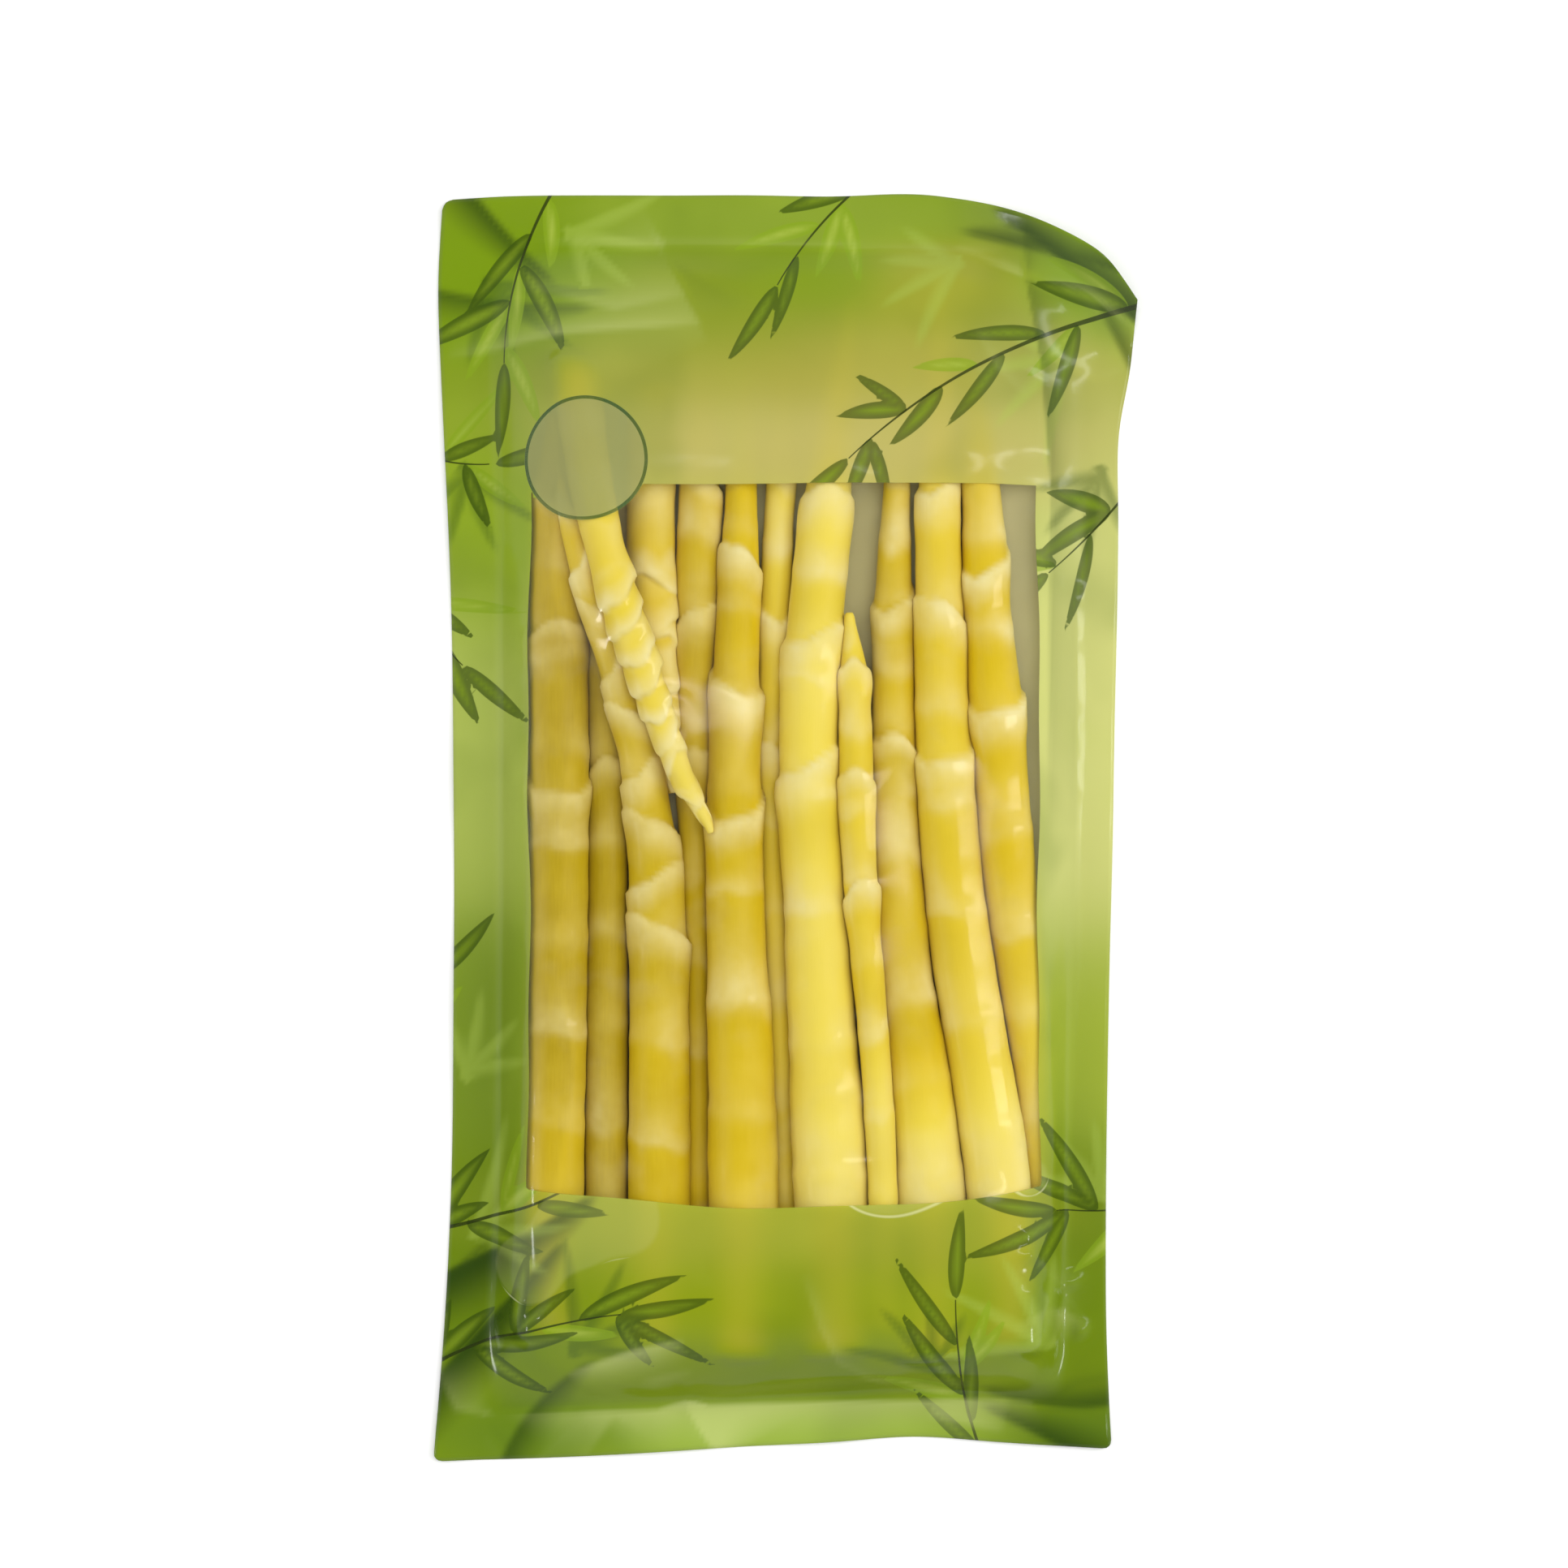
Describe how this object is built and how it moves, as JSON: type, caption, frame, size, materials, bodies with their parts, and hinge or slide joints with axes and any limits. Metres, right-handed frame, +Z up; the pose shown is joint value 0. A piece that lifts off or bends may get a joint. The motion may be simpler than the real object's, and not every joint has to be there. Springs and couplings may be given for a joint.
{
  "type": "pouch of bamboo shoots",
  "caption": "Flat sealed film pouch lying on its back, with peeled bamboo shoots packed side by side between a green front film with a clear window and a green back film.",
  "frame": {"origin": "middle of the underside, on the surface that the pouch lies on", "axes": "+X across the pouch to its right, +Y along it to its top weld, +Z up through its front film"},
  "size_m": [0.1661, 0.2999, 0.0249],
  "materials": {
    "front_film": "glossy clear film printed inside with translucent leaf green, with an unprinted window",
    "back_film": "glossy film printed leaf green with a plain pale panel",
    "shoot": "moist pale yellow bamboo shoot with cream rings at the nodes"
  },
  "bodies": {
    "root": {"front_film": "front_film", "back_film": "back_film", "shoot_01": "shoot", "shoot_02": "shoot", "shoot_03": "shoot", "shoot_04": "shoot", "shoot_05": "shoot", "shoot_06": "shoot", "shoot_07": "shoot", "shoot_08": "shoot", "shoot_09": "shoot", "shoot_10": "shoot", "shoot_11": "shoot", "shoot_12": "shoot", "shoot_13": "shoot"}
  },
  "joints": []
}
